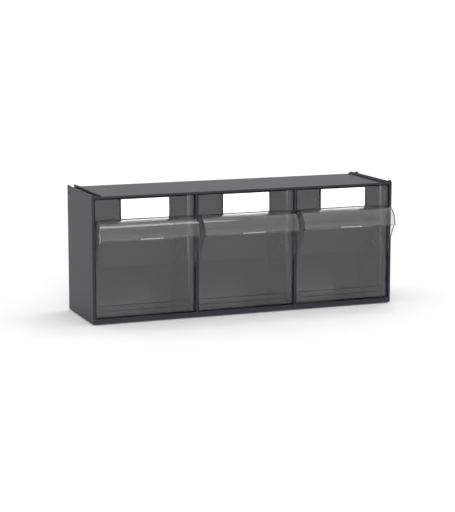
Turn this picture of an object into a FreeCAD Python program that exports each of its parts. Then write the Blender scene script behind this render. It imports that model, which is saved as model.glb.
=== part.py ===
import FreeCAD, Part
import math
import os

# Parts cabinet: a housing of dark panels with three clear tip-out bins side by side.
# Each bin turns on two pivot pins at its bottom front edge and tips forward.
#
# All sizes are in millimetres. While the pieces are made, x runs from left to right with 0
# in the middle of the housing, y runs back from the housing's front plane, and z runs up
# from the surface it stands on. Each piece is moved along y when it is saved, so that the
# origin lies under the middle of the whole cabinet, grips included.

# Driving dimensions of the cabinet
WIDTH = 600.0
HEIGHT = 240.0
HOUSING_DEPTH = 160.0
VISOR_REACH = 37.0
BIN_COUNT = 3

# Housing walls
SIDE_THICKNESS = 5.0
DIVIDER_THICKNESS = 4.0
TOP_THICKNESS = 4.0
FLOOR_THICKNESS = 2.5
BACK_THICKNESS = 3.0
RAIL_HEIGHT = 4.0
RIM_HEIGHT = 1.5
BASE_RECESS = 2.5
BACK_SETBACK = 132.0
REAR_RIM_THICKNESS = 3.0
SILL_THICKNESS = 2.0
SILL_HEIGHT = 11.0
TONGUE_DEPTH = 1.5
TONGUE_THICKNESS = 2.0
TONGUE_END_GAP = 6.0
EDGE_ROUND = 1.0
RIM_ROUND = 2.0
SHARP_EDGE_ROUND = 0.4
SILL_ROUND = 0.8
DIVIDER_FRONT = 0.5
TOP_REAR_GAP = 4.0

# Levels and widths that follow from them
TOP_SURFACE = HEIGHT - RAIL_HEIGHT
CEILING = TOP_SURFACE - TOP_THICKNESS
FLOOR = BASE_RECESS + FLOOR_THICKNESS
INNER_HALF_WIDTH = WIDTH / 2 - SIDE_THICKNESS
DIVIDER_COUNT = BIN_COUNT - 1
CELL_WIDTH = (2 * INNER_HALF_WIDTH - DIVIDER_COUNT * DIVIDER_THICKNESS) / BIN_COUNT
CELL_HALF = CELL_WIDTH / 2
BIN_PITCH = CELL_WIDTH + DIVIDER_THICKNESS
TOP_PANEL_DEPTH = HOUSING_DEPTH - TOP_REAR_GAP

# The shadow gap under the sill and under the outer half of each side panel. The inner half of
# each side panel reaches down through it as a long foot, set back from the front.
SHADOW_GAP = 2.0
FOOT_THICKNESS = 2.3
FOOT_START = 8.0
FOOT_END_GAP = 2.0

# Ears at the ends of each side panel's top edge. They stand on its outer half, where the shadow
# gap of a cabinet that is stacked on top has room for them.
EAR_HEIGHT = 1.9
EAR_THICKNESS = 2.5
EAR_LENGTH = 9.0
EAR_FRONT_INSET = 2.5
EAR_REAR_INSET = 0.5
EAR_ROUND = 1.2

# Screw hole near the rear top corner of each side panel
SCREW_HOLE_RADIUS = 2.5
SCREW_HOLE_Y = 148.0
SCREW_HOLE_Z = 226.0

# Stacking rails on the top: a ledge with a ridge along its outer side. Notches cross the ridge,
# and the groove outside each rail stops short beside them.
RAIL_INNER = 281.0
RAIL_OUTER = 288.0
LEDGE_HEIGHT = 2.5
RIDGE_THICKNESS = 3.0
RAIL_START = 5.0
RAIL_CHAMFER = 0.6
GROOVE_INNER = 289.0
GROOVE_DEPTH = 2.5
GROOVE_START = 8.0
NOTCH_LENGTH = 4.0
NOTCH_COUNT = 3
NOTCH_PITCH = 40.0
FIRST_NOTCH_Y = 27.0

# Pivots: pins on the bins run in blind holes in the housing's upright walls
PIVOT_Y = 15.0
PIVOT_Z = 17.5
PIN_RADIUS = 4.0
PIN_CLEARANCE = 0.08
PIN_CHAMFER = 0.4
HOLE_DEPTH = 1.6
PIN_END_GAP = 0.2

# Stop ribs down the upright walls, which the lugs on an open bin come to rest against
STOP_RIB_Y = 30.5
STOP_RIB_THICKNESS = 3.0
STOP_RIB_PROUD = 2.4
LUG_RADIUS = 3.0
LUG_ORBIT = 106.0
LUG_LENGTH = 2.3
LUG_TOUCH_GAP = 0.3
TILT_LIMIT = 45.0

# Pads on the floor that a closed bin rests on
PAD_WIDTH = 24.0
PAD_LENGTH = 8.0
PAD_HEIGHT = 0.9
PAD_Y = 106.0
PAD_OFFSET = 60.0

# Bin tub
WALL = 2.0
BIN_SIDE_GAP = 0.8
BIN_HALF = CELL_HALF - BIN_SIDE_GAP
REAR_SIDE_GAP = 1.0
REAR_HALF = CELL_HALF - STOP_RIB_PROUD - REAR_SIDE_GAP
TUB_FRONT = 3.5
TUB_FLOOR = 6.0
LOWER_FRONT_RADIUS = 12.2
REAR_RADIUS = 112.5
REAR_WALL_ANGLE = 38.0
SIDE_ARC_ANGLE = 62.0
STEP_Y = 28.0
COLUMN_REAR = 31.0
COLUMN_TOP = 229.5
NOTCH_CORNER_Z = 98.0
NOTCH_ROUND = 12.0
TUB_CORNER_ROUND = 3.0
NARROW_CORNER_ROUND = 0.8
TUB_INNER_ROUND = 1.2

# Two fine moulded lines across the tub's front wall
MOULD_LINE_LEVELS = (24.0, 34.3)
MOULD_LINE_DEPTH = 0.8

# Bin visor: a quarter cylinder in front of the bin's front wall, open underneath for the
# fingers, with a cheek at each end and a flange along its lower edge
VISOR_WALL = 1.8
VISOR_RADIUS = 31.6
VISOR_HEIGHT = 34.6
VISOR_TOP = 192.3
CHEEK_HALF = 95.0
CHEEK_FRONT = -27.0
CHEEK_FOOT = 98.0
CHEEK_ROUND = 0.8
FLANGE_THICKNESS = 1.5
FLANGE_HALF = 97.0
GRIP_RIB_COUNT = 7
GRIP_RIB_WIDTH = 4.2
GRIP_RIB_GAP = 2.2
GRIP_RIB_HEIGHT = 2.0

# Label card, and the clear holder in front of it
LABEL_WIDTH = 91.5
LABEL_LIFT = 1.1
LABEL_BOTTOM = VISOR_TOP + LABEL_LIFT
LABEL_TOP = 228.7
LABEL_THICKNESS = 0.4
LABEL_CORNER = 1.2
LABEL_GAP = 0.1
HOLDER_THICKNESS = 1.0
HOLDER_RIM = 2.0

# How far a block that cuts a slot or a rebate runs out past the piece
OVERCUT = 1.0

# The visor's sheet is round down to the level of its axis and straight from there to its foot.
# It is made running a little way into the tub's front wall and then cut to fit the wall and
# its rounded corners.
VISOR_AXIS = VISOR_TOP - VISOR_RADIUS
VISOR_FOOT = VISOR_TOP - VISOR_HEIGHT
VISOR_BACK = TUB_FRONT + OVERCUT

# The origin lies midway between the visors' front and the housing's back
OVERALL_DEPTH = HOUSING_DEPTH + VISOR_REACH
SHIFT_Y = VISOR_REACH - OVERALL_DEPTH / 2


def box(x0, x1, y0, y1, z0, z1):
    """A block between two corners."""
    corner = FreeCAD.Vector(x0, y0, z0)
    return Part.makeBox(x1 - x0, y1 - y0, z1 - z0, corner)


def point(y, z):
    """A point of a side outline, in the plane x = 0."""
    return FreeCAD.Vector(0.0, y, z)


def on_circle(radius, degrees):
    """A point on a circle round the pivot; 0 degrees is straight back."""
    angle = math.radians(degrees)
    return point(PIVOT_Y + radius * math.cos(angle), PIVOT_Z + radius * math.sin(angle))


def line(start, end):
    return Part.LineSegment(start, end).toShape()


def arc_on(circle, radius, start, end):
    """An arc between two angles; circle gives the point for a radius and an angle."""
    middle = (start + end) / 2
    points = [circle(radius, degrees) for degrees in (start, middle, end)]
    return Part.Arc(*points).toShape()


def extrude_outline(edges, x0, x1):
    """A solid with a side outline, from x0 to x1."""
    face = Part.Face(Part.Wire(edges))
    face.translate(FreeCAD.Vector(x0, 0, 0))
    return face.extrude(FreeCAD.Vector(x1 - x0, 0, 0))


def cylinder_x(radius, x0, x1, y, z):
    """A cylinder along x."""
    return Part.makeCylinder(radius, x1 - x0, FreeCAD.Vector(x0, y, z), FreeCAD.Vector(1, 0, 0))


def mirror_x(shape):
    return shape.mirror(FreeCAD.Vector(0, 0, 0), FreeCAD.Vector(1, 0, 0))


def round_edges(shape, radius, wanted):
    """Round the straight edges whose middle point passes a test."""
    picked = [edge for edge in shape.Edges if wanted(edge.CenterOfMass)]
    return shape.makeFillet(radius, picked)


def close_to(value, target):
    return abs(value - target) < 0.01


# Housing

def pivot_hole(x_face, inward):
    """The blind hole for a pivot pin; inward is +1 or -1, the way it runs into the wall."""
    x_end = x_face + inward * HOLE_DEPTH
    x0, x1 = sorted((x_face, x_end))
    return cylinder_x(PIN_RADIUS + PIN_CLEARANCE, x0, x1, PIVOT_Y, PIVOT_Z)


def stop_rib(x_face, outward):
    """The rib that stops an open bin; outward is the way it stands off the wall."""
    x0, x1 = sorted((x_face, x_face + outward * STOP_RIB_PROUD))
    return box(x0, x1, STOP_RIB_Y, STOP_RIB_Y + STOP_RIB_THICKNESS, FLOOR, CEILING)


def tongue_groove(x0, x1, z_middle, y0, y1):
    """The space a tongue of the top or bottom panel takes in a side panel."""
    half = TONGUE_THICKNESS / 2
    return box(x0, x1, y0, y1, z_middle - half, z_middle + half)


def side_panel_ear(y0):
    """A small ear on the right side panel's top edge, rounded at its front and rear."""
    outer = WIDTH / 2
    top = TOP_SURFACE + RIM_HEIGHT + EAR_HEIGHT
    ear = box(outer - EAR_THICKNESS, outer, y0, y0 + EAR_LENGTH, TOP_SURFACE - RIM_ROUND, top)
    return round_edges(ear, EAR_ROUND, lambda middle: close_to(middle.z, top) and
                       close_to(middle.x, outer - EAR_THICKNESS / 2))


def make_right_side_panel():
    inner = INNER_HALF_WIDTH
    outer = WIDTH / 2
    rim_top = TOP_SURFACE + RIM_HEIGHT
    panel = box(inner, outer, 0, HOUSING_DEPTH, SHADOW_GAP, rim_top)
    panel = round_edges(panel, RIM_ROUND, lambda middle: close_to(middle.x, outer) and
                        close_to(middle.z, rim_top))
    panel = round_edges(panel, SHARP_EDGE_ROUND, lambda middle: close_to(middle.x, outer) and
                        close_to(middle.z, SHADOW_GAP))
    upright = (SHADOW_GAP + SHARP_EDGE_ROUND + rim_top - RIM_ROUND) / 2
    panel = round_edges(panel, EDGE_ROUND, lambda middle: close_to(middle.x, outer) and
                        close_to(middle.z, upright) and not close_to(middle.y, HOUSING_DEPTH / 2))
    foot = box(inner, inner + FOOT_THICKNESS, FOOT_START, HOUSING_DEPTH - FOOT_END_GAP,
               0, SHADOW_GAP)
    panel = panel.fuse([foot, stop_rib(inner, -1)])
    for y0 in (EAR_FRONT_INSET, HOUSING_DEPTH - EAR_REAR_INSET - EAR_LENGTH):
        panel = panel.fuse(side_panel_ear(y0))
    panel = panel.cut(pivot_hole(inner, 1))
    screw_hole = cylinder_x(SCREW_HOLE_RADIUS, inner - OVERCUT, outer + OVERCUT,
                            SCREW_HOLE_Y, SCREW_HOLE_Z)
    panel = panel.cut(screw_hole)
    panel = panel.cut(tongue_groove(inner, inner + TONGUE_DEPTH, CEILING + TOP_THICKNESS / 2,
                                    TONGUE_END_GAP, TOP_PANEL_DEPTH))
    back_groove = box(inner, inner + TONGUE_DEPTH, BACK_SETBACK, BACK_SETBACK + BACK_THICKNESS,
                      FLOOR, CEILING)
    panel = panel.cut(back_groove)
    return panel.removeSplitter()


def make_left_side_panel():
    return mirror_x(make_right_side_panel())


def notch_places():
    """The middle of each notch in a stacking rail, from front to rear."""
    return [FIRST_NOTCH_Y + number * NOTCH_PITCH for number in range(NOTCH_COUNT)]


def top_grooves(side):
    """The groove outside a stacking rail, in stretches between the notches' bridges."""
    stops = [GROOVE_START]
    for place in notch_places():
        stops.append(place - NOTCH_LENGTH / 2)
        stops.append(place + NOTCH_LENGTH / 2)
    stops.append(TOP_PANEL_DEPTH + OVERCUT)
    grooves = []
    for start, end in zip(stops[0::2], stops[1::2]):
        x0, x1 = sorted((side * GROOVE_INNER, side * INNER_HALF_WIDTH))
        grooves.append(box(x0, x1, start, end, TOP_SURFACE - GROOVE_DEPTH, TOP_SURFACE + OVERCUT))
    return grooves


def divider_slot(x_middle, z0, z1):
    """The space a divider's edge takes in the top or bottom panel."""
    half = DIVIDER_THICKNESS / 2
    return box(x_middle - half, x_middle + half, TONGUE_END_GAP, BACK_SETBACK, z0, z1)


def make_top_panel():
    half = INNER_HALF_WIDTH
    panel = box(-half, half, 0, TOP_PANEL_DEPTH, CEILING, TOP_SURFACE)
    panel = round_edges(panel, SHARP_EDGE_ROUND,
                        lambda middle: close_to(middle.y, 0) and close_to(middle.x, 0))
    tongue_z = CEILING + TOP_THICKNESS / 2
    tongue = box(-half - TONGUE_DEPTH, half + TONGUE_DEPTH, TONGUE_END_GAP, TOP_PANEL_DEPTH,
                 tongue_z - TONGUE_THICKNESS / 2, tongue_z + TONGUE_THICKNESS / 2)
    panel = panel.fuse(tongue)
    for side in (-1, 1):
        for groove in top_grooves(side):
            panel = panel.cut(groove)
    for x_middle in divider_places():
        panel = panel.cut(divider_slot(x_middle, CEILING, CEILING + TONGUE_DEPTH))
    back_slot = box(-half, half, BACK_SETBACK, BACK_SETBACK + BACK_THICKNESS,
                    CEILING, CEILING + TONGUE_DEPTH)
    panel = panel.cut(back_slot)
    return panel.removeSplitter()


def make_bottom_panel():
    half = INNER_HALF_WIDTH
    plate = box(-half, half, 0, HOUSING_DEPTH, BASE_RECESS, FLOOR)
    sill = box(-half, half, 0, SILL_THICKNESS, SHADOW_GAP, SILL_HEIGHT)
    sill = round_edges(sill, SILL_ROUND,
                       lambda middle: close_to(middle.y, 0) and close_to(middle.z, SILL_HEIGHT))
    sill = round_edges(sill, SHARP_EDGE_ROUND,
                       lambda middle: close_to(middle.y, 0) and close_to(middle.z, SHADOW_GAP))
    rear_rim = box(-half, half, HOUSING_DEPTH - REAR_RIM_THICKNESS, HOUSING_DEPTH, 0, FLOOR)
    panel = plate.fuse([sill, rear_rim])
    for bin_x in bin_places():
        for side in (-1, 1):
            pad_x = bin_x + side * PAD_OFFSET
            pad = box(pad_x - PAD_WIDTH / 2, pad_x + PAD_WIDTH / 2, PAD_Y, PAD_Y + PAD_LENGTH,
                      FLOOR, FLOOR + PAD_HEIGHT)
            panel = panel.fuse(pad)
    for x_middle in divider_places():
        panel = panel.cut(divider_slot(x_middle, FLOOR - TONGUE_DEPTH, FLOOR))
    back_slot = box(-half, half, BACK_SETBACK, BACK_SETBACK + BACK_THICKNESS,
                    FLOOR - TONGUE_DEPTH, FLOOR)
    panel = panel.cut(back_slot)
    return panel.removeSplitter()


def make_back_panel():
    half = INNER_HALF_WIDTH
    y0 = BACK_SETBACK
    y1 = BACK_SETBACK + BACK_THICKNESS
    sheet = box(-half, half, y0, y1, FLOOR - TONGUE_DEPTH, CEILING + TONGUE_DEPTH)
    side_tongues = box(-half - TONGUE_DEPTH, half + TONGUE_DEPTH, y0, y1, FLOOR, CEILING)
    return sheet.fuse(side_tongues).removeSplitter()


def make_divider(x_middle):
    half = DIVIDER_THICKNESS / 2
    wall = box(x_middle - half, x_middle + half, DIVIDER_FRONT, BACK_SETBACK, FLOOR, CEILING)
    wall = round_edges(wall, EDGE_ROUND, lambda middle: close_to(middle.y, DIVIDER_FRONT) and
                       close_to(middle.z, (FLOOR + CEILING) / 2))
    edges = box(x_middle - half, x_middle + half, TONGUE_END_GAP, BACK_SETBACK,
                FLOOR - TONGUE_DEPTH, CEILING + TONGUE_DEPTH)
    wall = wall.fuse(edges)
    behind_sill = box(x_middle - half, x_middle + half, 0, SILL_THICKNESS, 0, SILL_HEIGHT)
    wall = wall.cut(behind_sill)
    for side in (-1, 1):
        face = x_middle + side * half
        wall = wall.fuse(stop_rib(face, side))
        wall = wall.cut(pivot_hole(face, -side))
    return wall.removeSplitter()


def make_stacking_rail(side):
    """A low ledge with a notched ridge along its outer side."""
    length = TOP_PANEL_DEPTH - RAIL_START
    ledge_top = TOP_SURFACE + LEDGE_HEIGHT
    ledge = box(RAIL_INNER, RAIL_OUTER, RAIL_START, RAIL_START + length, TOP_SURFACE, ledge_top)
    ridge = box(RAIL_OUTER - RIDGE_THICKNESS, RAIL_OUTER, RAIL_START, RAIL_START + length,
                TOP_SURFACE, HEIGHT)
    top_edges = [edge for edge in ridge.Edges
                 if close_to(edge.CenterOfMass.z, HEIGHT) and close_to(edge.Length, length)]
    rail = ledge.fuse(ridge.makeChamfer(RAIL_CHAMFER, top_edges))
    for place in notch_places():
        notch = box(RAIL_INNER - OVERCUT, RAIL_OUTER + OVERCUT, place - NOTCH_LENGTH / 2,
                    place + NOTCH_LENGTH / 2, ledge_top, HEIGHT + OVERCUT)
        rail = rail.cut(notch)
    if side < 0:
        rail = mirror_x(rail)
    return rail.removeSplitter()


# Bin tub

def floor_end_angle(floor, rear_radius):
    """Where a level floor meets the rear arc."""
    return -math.degrees(math.asin((PIVOT_Z - floor) / rear_radius))


def hollow_section():
    """The side outline of the space inside the tub, which is open above the rear wall."""
    front = TUB_FRONT + WALL
    floor = TUB_FLOOR + WALL
    rear_radius = REAR_RADIUS - WALL
    floor_angle = floor_end_angle(floor, rear_radius)
    front_top = point(front, HEIGHT)
    floor_front = point(front, floor)
    rear_top = on_circle(rear_radius, REAR_WALL_ANGLE)
    rim_back = point(PIVOT_Y + REAR_RADIUS + WALL, rear_top.z)
    above_rear = point(rim_back.y, HEIGHT)
    return [line(front_top, floor_front),
            line(floor_front, on_circle(rear_radius, floor_angle)),
            arc_on(on_circle, rear_radius, floor_angle, REAR_WALL_ANGLE),
            line(rear_top, rim_back),
            line(rim_back, above_rear),
            line(above_rear, front_top)]


def side_outline():
    """The outline of a tub's flat side: the tall front column and the rear arc."""
    floor_angle = floor_end_angle(TUB_FLOOR, REAR_RADIUS)
    column_front = point(TUB_FRONT, COLUMN_TOP)
    column_back = point(COLUMN_REAR, COLUMN_TOP)
    floor_front = point(TUB_FRONT, TUB_FLOOR)
    notch_corner = point(COLUMN_REAR, NOTCH_CORNER_Z)
    return [line(column_front, floor_front),
            line(floor_front, on_circle(REAR_RADIUS, floor_angle)),
            arc_on(on_circle, REAR_RADIUS, floor_angle, SIDE_ARC_ANGLE),
            line(on_circle(REAR_RADIUS, SIDE_ARC_ANGLE), notch_corner),
            line(notch_corner, column_back),
            line(column_back, column_front)]


def front_zone(inset):
    """Where the tub is at its full width: ahead of the step, and round the pivot below it."""
    step = STEP_Y - inset
    upper = box(-BIN_HALF, BIN_HALF, 0, step, PIVOT_Z, HEIGHT)
    lower = box(-BIN_HALF, BIN_HALF, 0, PIVOT_Y, 0, PIVOT_Z)
    boss = cylinder_x(step - PIVOT_Y, -BIN_HALF, BIN_HALF, PIVOT_Y, PIVOT_Z)
    return upper.fuse([lower, boss])


def hollow(half_width):
    """The space inside the tub between two side walls."""
    inner_half = half_width - WALL
    return extrude_outline(hollow_section(), -inner_half, inner_half)


def round_front_corners(shape, half_width, front, radius):
    """Round the two upright edges between the front face and the sides."""
    return round_edges(shape, radius, lambda middle: close_to(abs(middle.x), half_width) and
                       close_to(middle.y, front))


def trim_lower_front(shape, radius):
    """Cut the lower front corner back to a circle round the pivot, so that it clears the floor."""
    corner = box(-CELL_HALF, CELL_HALF, 0, PIVOT_Y, 0, PIVOT_Z)
    keep = cylinder_x(radius, -CELL_HALF, CELL_HALF, PIVOT_Y, PIVOT_Z)
    return shape.cut(corner.cut(keep))


def mould_line(level):
    """A fine groove with sloping sides across the outside of the front wall."""
    flat_half = BIN_HALF - TUB_CORNER_ROUND
    front = TUB_FRONT - MOULD_LINE_DEPTH
    bottom = point(TUB_FRONT + MOULD_LINE_DEPTH, level)
    upper = point(front, level + 2 * MOULD_LINE_DEPTH)
    lower = point(front, level - 2 * MOULD_LINE_DEPTH)
    outline = [line(upper, lower), line(lower, bottom), line(bottom, upper)]
    return extrude_outline(outline, -flat_half, flat_half)


def tub_body():
    """The tub's walls: the outer form less the space inside."""
    narrow = extrude_outline(side_outline(), -REAR_HALF, REAR_HALF)
    narrow = round_edges(narrow, NOTCH_ROUND, lambda middle: close_to(middle.y, COLUMN_REAR) and
                         close_to(middle.z, NOTCH_CORNER_Z) and close_to(middle.x, 0))
    narrow = round_front_corners(narrow, REAR_HALF, TUB_FRONT, NARROW_CORNER_ROUND)
    wide = extrude_outline(side_outline(), -BIN_HALF, BIN_HALF).common(front_zone(0))
    wide = round_front_corners(wide, BIN_HALF, TUB_FRONT, TUB_CORNER_ROUND)
    outer = trim_lower_front(narrow.fuse(wide), LOWER_FRONT_RADIUS)
    front_space = hollow(BIN_HALF).common(front_zone(WALL))
    front_space = round_front_corners(front_space, BIN_HALF - WALL, TUB_FRONT + WALL,
                                      TUB_INNER_ROUND)
    space = hollow(REAR_HALF).fuse(front_space)
    outer = outer.cut(trim_lower_front(space, LOWER_FRONT_RADIUS - WALL))
    for level in MOULD_LINE_LEVELS:
        outer = outer.cut(mould_line(level))
    return outer


def pivot_pin():
    """The right-hand pin, with a small chamfer round its end."""
    end = CELL_HALF + HOLE_DEPTH - PIN_END_GAP
    pin = cylinder_x(PIN_RADIUS, BIN_HALF - WALL, end, PIVOT_Y, PIVOT_Z)
    rim = [edge for edge in pin.Edges if close_to(edge.CenterOfMass.x, end)]
    return pin.makeChamfer(PIN_CHAMFER, rim)


def lug_angle():
    """Where a stop lug sits on a closed bin, so that it meets its rib at the tilt limit."""
    reach = STOP_RIB_Y + STOP_RIB_THICKNESS + LUG_TOUCH_GAP + LUG_RADIUS - PIVOT_Y
    return math.degrees(math.acos(reach / LUG_ORBIT)) - TILT_LIMIT


def stop_lug():
    """The right-hand lug on the side of the tub."""
    place = on_circle(LUG_ORBIT, lug_angle())
    return cylinder_x(LUG_RADIUS, REAR_HALF - WALL, REAR_HALF + LUG_LENGTH, place.y, place.z)


def make_tub():
    tub = tub_body()
    for knob in (pivot_pin(), stop_lug()):
        tub = tub.fuse([knob, mirror_x(knob)])
    return tub.removeSplitter()


# Bin visor

def visor_point(radius, degrees):
    """A point of the visor's round sheet; 90 degrees is its top, 180 its foremost line."""
    angle = math.radians(degrees)
    return point(radius * math.cos(angle), VISOR_AXIS + radius * math.sin(angle))


def visor_sheet():
    """The round sheet, from the front wall to its lower edge."""
    inner = VISOR_RADIUS - VISOR_WALL
    wall_top = point(VISOR_BACK, VISOR_TOP)
    wall_under = point(VISOR_BACK, VISOR_TOP - VISOR_WALL)
    outer_foot = point(-VISOR_RADIUS, VISOR_FOOT)
    inner_foot = point(-inner, VISOR_FOOT)
    outline = [line(wall_top, visor_point(VISOR_RADIUS, 90)),
               arc_on(visor_point, VISOR_RADIUS, 90, 180),
               line(visor_point(VISOR_RADIUS, 180), outer_foot),
               line(outer_foot, inner_foot),
               line(inner_foot, visor_point(inner, 180)),
               arc_on(visor_point, inner, 180, 90),
               line(visor_point(inner, 90), wall_under),
               line(wall_under, wall_top)]
    return extrude_outline(outline, -CHEEK_HALF, CHEEK_HALF)


def visor_cheek():
    """The right-hand cheek: it closes the visor's end and slopes back to the front wall."""
    sheet_foot = point(-VISOR_RADIUS, VISOR_FOOT)
    slope_top = point(CHEEK_FRONT, VISOR_FOOT)
    slope_foot = point(TUB_FRONT, CHEEK_FOOT)
    wall_foot = point(VISOR_BACK, CHEEK_FOOT)
    wall_top = point(VISOR_BACK, VISOR_TOP)
    outline = [arc_on(visor_point, VISOR_RADIUS, 90, 180),
               line(visor_point(VISOR_RADIUS, 180), sheet_foot),
               line(sheet_foot, slope_top),
               line(slope_top, slope_foot),
               line(slope_foot, wall_foot),
               line(wall_foot, wall_top),
               line(wall_top, visor_point(VISOR_RADIUS, 90))]
    return extrude_outline(outline, CHEEK_HALF - VISOR_WALL, CHEEK_HALF)


def grip_ribs():
    """Wedges on the flange at the middle of the visor, upright in front and sloping behind."""
    step = GRIP_RIB_WIDTH + GRIP_RIB_GAP
    first = -step * (GRIP_RIB_COUNT - 1) / 2
    flange_top = VISOR_FOOT + FLANGE_THICKNESS
    front_foot = point(-VISOR_REACH, VISOR_FOOT)
    front_top = point(-VISOR_REACH, flange_top + GRIP_RIB_HEIGHT)
    back_top = point(-VISOR_REACH + GRIP_RIB_HEIGHT, flange_top)
    back_foot = point(-VISOR_REACH + GRIP_RIB_HEIGHT, VISOR_FOOT)
    outline = [line(front_foot, front_top), line(front_top, back_top),
               line(back_top, back_foot), line(back_foot, front_foot)]
    rib = extrude_outline(outline, -GRIP_RIB_WIDTH / 2, GRIP_RIB_WIDTH / 2)
    return [moved_x(rib, first + number * step) for number in range(GRIP_RIB_COUNT)]


def make_visor(tub):
    cheek = visor_cheek()
    shell = visor_sheet().fuse([cheek, mirror_x(cheek)]).removeSplitter()
    shell = round_edges(shell, CHEEK_ROUND, lambda middle: close_to(abs(middle.x), CHEEK_HALF) and
                        middle.y < 0 and middle.z > VISOR_AXIS)
    flange = box(-FLANGE_HALF, FLANGE_HALF, -VISOR_REACH, -VISOR_RADIUS + VISOR_WALL,
                 VISOR_FOOT, VISOR_FOOT + FLANGE_THICKNESS)
    visor = shell.fuse([flange] + grip_ribs()).cut(tub)
    return visor.removeSplitter()


# Label

def make_label_card():
    """A white card just above the visor, ahead of the bin's front wall."""
    half = LABEL_WIDTH / 2
    back = TUB_FRONT - LABEL_GAP
    card = box(-half, half, back - LABEL_THICKNESS, back, LABEL_BOTTOM, LABEL_TOP)
    return round_edges(card, LABEL_CORNER, lambda middle: close_to(abs(middle.x), half) and
                       close_to(middle.y, back - LABEL_THICKNESS / 2))


def make_label_holder():
    """A clear plate ahead of the card, with a rim down each side that joins the front wall."""
    half = LABEL_WIDTH / 2 + LABEL_GAP
    pocket_front = TUB_FRONT - LABEL_THICKNESS - 2 * LABEL_GAP
    front = pocket_front - HOLDER_THICKNESS
    holder = box(-half - HOLDER_RIM, half + HOLDER_RIM, front, TUB_FRONT, LABEL_BOTTOM, COLUMN_TOP)
    pocket = box(-half, half, pocket_front, TUB_FRONT + OVERCUT, 0, HEIGHT)
    return holder.cut(pocket)


# Assembly

def bin_places():
    """The middle of each bin, from left to right."""
    middle = (BIN_COUNT - 1) / 2
    return [(number - middle) * BIN_PITCH for number in range(BIN_COUNT)]


def divider_places():
    """The middle of each divider, from left to right."""
    places = bin_places()
    return [(left + right) / 2 for left, right in zip(places[:-1], places[1:])]


def moved_x(shape, x):
    copy = shape.copy()
    copy.translate(FreeCAD.Vector(x, 0, 0))
    return copy


def housing_pieces():
    left_x, right_x = divider_places()
    return {
        "left_side_panel": make_left_side_panel(),
        "right_side_panel": make_right_side_panel(),
        "top_panel": make_top_panel(),
        "bottom_panel": make_bottom_panel(),
        "back_panel": make_back_panel(),
        "left_divider": make_divider(left_x),
        "right_divider": make_divider(right_x),
        "left_stacking_rail": make_stacking_rail(-1),
        "right_stacking_rail": make_stacking_rail(1),
    }


def bin_pieces():
    pieces = {}
    tub = make_tub()
    forms = {
        "bin_tub": tub,
        "bin_visor": make_visor(tub),
        "label_card": make_label_card(),
        "label_holder": make_label_holder(),
    }
    for place, x in zip(("left", "middle", "right"), bin_places()):
        for form_name, form in forms.items():
            pieces[f"{place}_{form_name}"] = moved_x(form, x)
    return pieces


def save(name, shape):
    shape.translate(FreeCAD.Vector(0, SHIFT_Y, 0))
    if not shape.isValid():
        raise ValueError(f"{name} isn't a valid solid")
    shape.exportStep(f"parts/{name}.step")
    size = shape.BoundBox
    print(f"{name}: {size.XLength:.1f} x {size.YLength:.1f} x {size.ZLength:.1f} mm, "
          f"{len(shape.Solids)} solid")


def main():
    os.makedirs("parts", exist_ok=True)
    pieces = housing_pieces()
    pieces.update(bin_pieces())
    for name, shape in pieces.items():
        save(name, shape)


main()
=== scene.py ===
import math

import bpy
from mathutils import Matrix, Vector

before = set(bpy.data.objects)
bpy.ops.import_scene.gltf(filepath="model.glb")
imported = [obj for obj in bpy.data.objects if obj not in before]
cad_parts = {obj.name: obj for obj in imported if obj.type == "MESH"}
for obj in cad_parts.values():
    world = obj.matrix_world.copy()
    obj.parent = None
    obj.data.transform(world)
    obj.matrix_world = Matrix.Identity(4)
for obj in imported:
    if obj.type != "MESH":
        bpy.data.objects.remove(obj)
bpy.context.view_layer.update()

# The photograph's view, as the direction from the object to the camera and the point aimed at
VIEW_AZIMUTH = math.radians(-21.11)
VIEW_ELEVATION = math.radians(9.69)
VIEW_ROLL = math.radians(0.015)
VIEW_DISTANCE = 3.241
AIM = Vector((-0.0007, 0.0366, 0.0950))
SENSOR_WIDTH = 36.0
IMAGE_WIDTH = 455
FOCAL_PIXELS = 1683.8

# Brightness of the white surroundings
DOME_STRENGTH = 1.0
BACKDROP_STRENGTH = 1.1

BINS = ("left", "middle", "right")
CLEAR_FORMS = ("bin_tub", "bin_visor")


# Node helpers

def new_material(name):
    material = bpy.data.materials.new(name)
    material.use_nodes = True
    return material, material.node_tree


def shader_of(tree):
    return tree.nodes["Principled BSDF"]


def object_noise(tree, scale, detail=2.0):
    """A noise texture in the object's own coordinates; scale is in cells per metre."""
    coords = tree.nodes.new("ShaderNodeTexCoord")
    noise = tree.nodes.new("ShaderNodeTexNoise")
    noise.inputs["Scale"].default_value = scale
    noise.inputs["Detail"].default_value = detail
    tree.links.new(coords.outputs["Object"], noise.inputs["Vector"])
    return noise


def mapped(tree, source, low, high):
    """A value from 0 to 1 spread over another range."""
    node = tree.nodes.new("ShaderNodeMapRange")
    node.inputs["From Min"].default_value = 0.3
    node.inputs["From Max"].default_value = 0.7
    node.inputs["To Min"].default_value = low
    node.inputs["To Max"].default_value = high
    tree.links.new(source, node.inputs["Value"])
    return node.outputs["Result"]


def add_bump(tree, height, distance, strength, normal=None):
    bump = tree.nodes.new("ShaderNodeBump")
    bump.inputs["Distance"].default_value = distance
    bump.inputs["Strength"].default_value = strength
    tree.links.new(height, bump.inputs["Height"])
    if normal is not None:
        tree.links.new(normal, bump.inputs["Normal"])
    return bump.outputs["Normal"]


# Materials

def shaded(colour, shade):
    """A colour made darker, with its alpha left at 1."""
    return tuple(shade * value for value in colour) + (1,)


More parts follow.
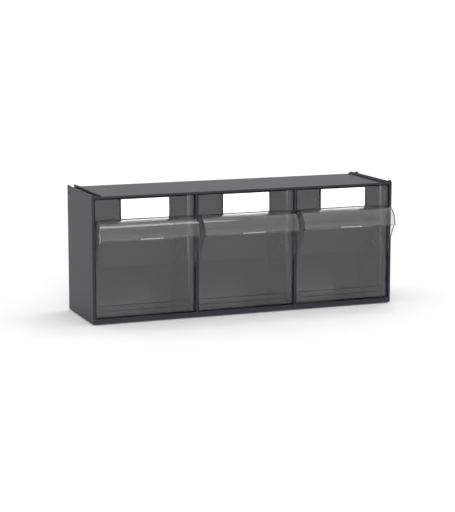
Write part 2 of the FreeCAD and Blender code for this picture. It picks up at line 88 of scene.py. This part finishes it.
def make_dark_plastic(name, shade, ior):
    """Moulded dark grey plastic with a fine spark-eroded grain and faint tone changes."""
    material, tree = new_material(name)
    shader = shader_of(tree)
    tone = object_noise(tree, 14.0)
    mix = tree.nodes.new("ShaderNodeMix")
    mix.data_type = "RGBA"
    mix.inputs["A"].default_value = shaded((0.018, 0.016, 0.022), shade)
    mix.inputs["B"].default_value = shaded((0.022, 0.020, 0.027), shade)
    tree.links.new(tone.outputs["Fac"], mix.inputs["Factor"])
    tree.links.new(mix.outputs["Result"], shader.inputs["Base Color"])
    grain = object_noise(tree, 2600.0, 3.0)
    roughness = mapped(tree, grain.outputs["Fac"], 0.40, 0.48)
    tree.links.new(roughness, shader.inputs["Roughness"])
    shader.inputs["IOR"].default_value = ior
    normal = add_bump(tree, grain.outputs["Fac"], 0.00004, 0.35)
    tree.links.new(normal, shader.inputs["Normal"])
    return material


def make_clear_plastic(name, tint, let_through):
    """Clear moulded plastic. A share of the lamps' light goes straight through to what is inside."""
    material, tree = new_material(name)
    shader = shader_of(tree)
    shader.inputs["Base Color"].default_value = (tint, tint, tint, 1)
    shader.inputs["Transmission Weight"].default_value = 1.0
    shader.inputs["IOR"].default_value = 1.51
    smear = object_noise(tree, 45.0)
    roughness = mapped(tree, smear.outputs["Fac"], 0.015, 0.05)
    tree.links.new(roughness, shader.inputs["Roughness"])
    flow = object_noise(tree, 22.0, 1.0)
    normal = add_bump(tree, flow.outputs["Fac"], 0.0003, 0.15)
    tree.links.new(normal, shader.inputs["Normal"])
    open_to_light = tree.nodes.new("ShaderNodeBsdfTransparent")
    open_to_light.inputs["Color"].default_value = (let_through, let_through, let_through, 1)
    path = tree.nodes.new("ShaderNodeLightPath")
    mix = tree.nodes.new("ShaderNodeMixShader")
    tree.links.new(path.outputs["Is Shadow Ray"], mix.inputs["Fac"])
    tree.links.new(shader.outputs["BSDF"], mix.inputs[1])
    tree.links.new(open_to_light.outputs["BSDF"], mix.inputs[2])
    output = tree.nodes["Material Output"]
    tree.links.new(mix.outputs["Shader"], output.inputs["Surface"])
    return material


def make_card():
    """White card with a faint fibre texture."""
    material, tree = new_material("white_card")
    shader = shader_of(tree)
    fibre = object_noise(tree, 900.0, 4.0)
    mix = tree.nodes.new("ShaderNodeMix")
    mix.data_type = "RGBA"
    mix.inputs["A"].default_value = (0.90, 0.90, 0.89, 1)
    mix.inputs["B"].default_value = (0.95, 0.95, 0.94, 1)
    tree.links.new(fibre.outputs["Fac"], mix.inputs["Factor"])
    tree.links.new(mix.outputs["Result"], shader.inputs["Base Color"])
    shader.inputs["Roughness"].default_value = 0.85
    normal = add_bump(tree, fibre.outputs["Fac"], 0.00003, 0.3)
    tree.links.new(normal, shader.inputs["Normal"])
    return material


def make_floor_material():
    """Plain white, with a faint glow far from the object where the floor meets the backdrop."""
    material, tree = new_material("floor")
    shader = shader_of(tree)
    coords = tree.nodes.new("ShaderNodeTexCoord")
    distance = tree.nodes.new("ShaderNodeVectorMath")
    distance.operation = "LENGTH"
    tree.links.new(coords.outputs["Object"], distance.inputs[0])
    glow = tree.nodes.new("ShaderNodeMapRange")
    glow.inputs["From Min"].default_value = 0.7
    glow.inputs["From Max"].default_value = 2.5
    glow.inputs["To Max"].default_value = 0.12
    tree.links.new(distance.outputs["Value"], glow.inputs["Value"])
    tree.links.new(glow.outputs["Result"], shader.inputs["Emission Strength"])
    shader.inputs["Emission Color"].default_value = (1, 1, 1, 1)
    shader.inputs["Base Color"].default_value = (0.94, 0.94, 0.94, 1)
    shader.inputs["Roughness"].default_value = 0.9
    shader.inputs["Specular IOR Level"].default_value = 0.0
    return material


def paint(node_name, material):
    """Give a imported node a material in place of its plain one."""
    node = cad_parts[node_name]
    node.data.materials.clear()
    node.data.materials.append(material)


# Surroundings

def make_floor():
    half = 6.0
    corners = [(-half, -half, 0), (half, -half, 0), (half, half, 0), (-half, half, 0)]
    mesh = bpy.data.meshes.new("floor")
    mesh.from_pydata(corners, [], [(0, 1, 2, 3)])
    mesh.materials.append(make_floor_material())
    floor = bpy.data.objects.new("floor", mesh)
    bpy.context.scene.collection.objects.link(floor)


def make_camera():
    back = Vector((math.sin(VIEW_AZIMUTH) * math.cos(VIEW_ELEVATION),
                   -math.cos(VIEW_AZIMUTH) * math.cos(VIEW_ELEVATION),
                   math.sin(VIEW_ELEVATION)))
    right = Vector((math.cos(VIEW_AZIMUTH), math.sin(VIEW_AZIMUTH), 0))
    up = back.cross(right)
    turn = Matrix.Rotation(VIEW_ROLL, 3, back)
    right = turn @ right
    up = turn @ up
    camera_data = bpy.data.cameras.new("camera")
    camera_data.sensor_fit = "HORIZONTAL"
    camera_data.sensor_width = SENSOR_WIDTH
    camera_data.lens = FOCAL_PIXELS * SENSOR_WIDTH / IMAGE_WIDTH
    camera_data.clip_end = 50.0
    camera = bpy.data.objects.new("camera", camera_data)
    axes = Matrix((right, up, back)).transposed()
    camera.matrix_world = Matrix.Translation(AIM + back * VIEW_DISTANCE) @ axes.to_4x4()
    bpy.context.scene.collection.objects.link(camera)
    bpy.context.scene.camera = camera


def add_area_light(name, place, target, size, power, on_gloss=True, on_matt=True):
    """A soft oval lamp. It can be kept off glossy reflections or off matt surfaces."""
    data = bpy.data.lights.new(name, "AREA")
    data.shape = "ELLIPSE"
    data.size, data.size_y = size
    data.energy = power
    light = bpy.data.objects.new(name, data)
    light.location = place
    light.rotation_euler = (Vector(place) - Vector(target)).to_track_quat("Z", "Y").to_euler()
    light.visible_camera = False
    light.visible_glossy = on_gloss
    light.visible_diffuse = on_matt
    light.visible_transmission = False
    bpy.context.scene.collection.objects.link(light)


def make_world():
    """White surroundings: the object sees them at one strength and the camera at another."""
    world = bpy.data.worlds.new("studio")
    world.use_nodes = True
    tree = world.node_tree
    background = tree.nodes["Background"]
    background.inputs["Color"].default_value = (1, 1, 1, 1)
    path = tree.nodes.new("ShaderNodeLightPath")
    strength = tree.nodes.new("ShaderNodeMapRange")
    strength.inputs["To Min"].default_value = DOME_STRENGTH
    strength.inputs["To Max"].default_value = BACKDROP_STRENGTH
    tree.links.new(path.outputs["Is Camera Ray"], strength.inputs["Value"])
    tree.links.new(strength.outputs["Result"], background.inputs["Strength"])
    bpy.context.scene.world = world


def make_lights():
    make_world()
    add_area_light("overhead", (0.5, 0.45, 2.1), (0.5, 0.45, 0.0), (0.6, 0.85), 4.8, on_gloss=False)
    add_area_light("highlight", (0.35, -0.4, 2.1), (0.35, -0.4, 0.0), (0.75, 0.65), 5.6,
                   on_matt=False)
    add_area_light("front_fill", (-0.9, -5.0, 0.65), (0, 0, 0.12), (1.6, 1.0), 142.0)


def set_colour_handling():
    scene = bpy.context.scene
    scene.view_settings.view_transform = "Standard"
    scene.view_settings.look = "None"


def dress():
    housing_plastic = make_dark_plastic("housing_plastic", 1.0, 1.28)
    # The back panel is the housing's own plastic, made 0.6 times as dark and less glossy: painted
    # shade for the dim inside of the housing seen through the bins.
    back_plastic_painted_shade = make_dark_plastic("back_plastic_painted_shade", 0.6, 1.18)
    bin_plastic = make_clear_plastic("bin_plastic", 0.90, 0.64)
    holder_plastic = make_clear_plastic("holder_plastic", 0.92, 0.95)
    card = make_card()
    for node_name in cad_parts:
        if any(node_name.endswith(form) for form in CLEAR_FORMS):
            paint(node_name, bin_plastic)
        elif node_name.endswith("label_holder"):
            paint(node_name, holder_plastic)
        elif node_name.endswith("label_card"):
            paint(node_name, card)
        # The back panel gets the darker copy: painted shade for the inside of the housing.
        elif node_name == "back_panel":
            paint(node_name, back_plastic_painted_shade)
        else:
            paint(node_name, housing_plastic)


make_camera()
make_lights()
make_floor()
set_colour_handling()
dress()
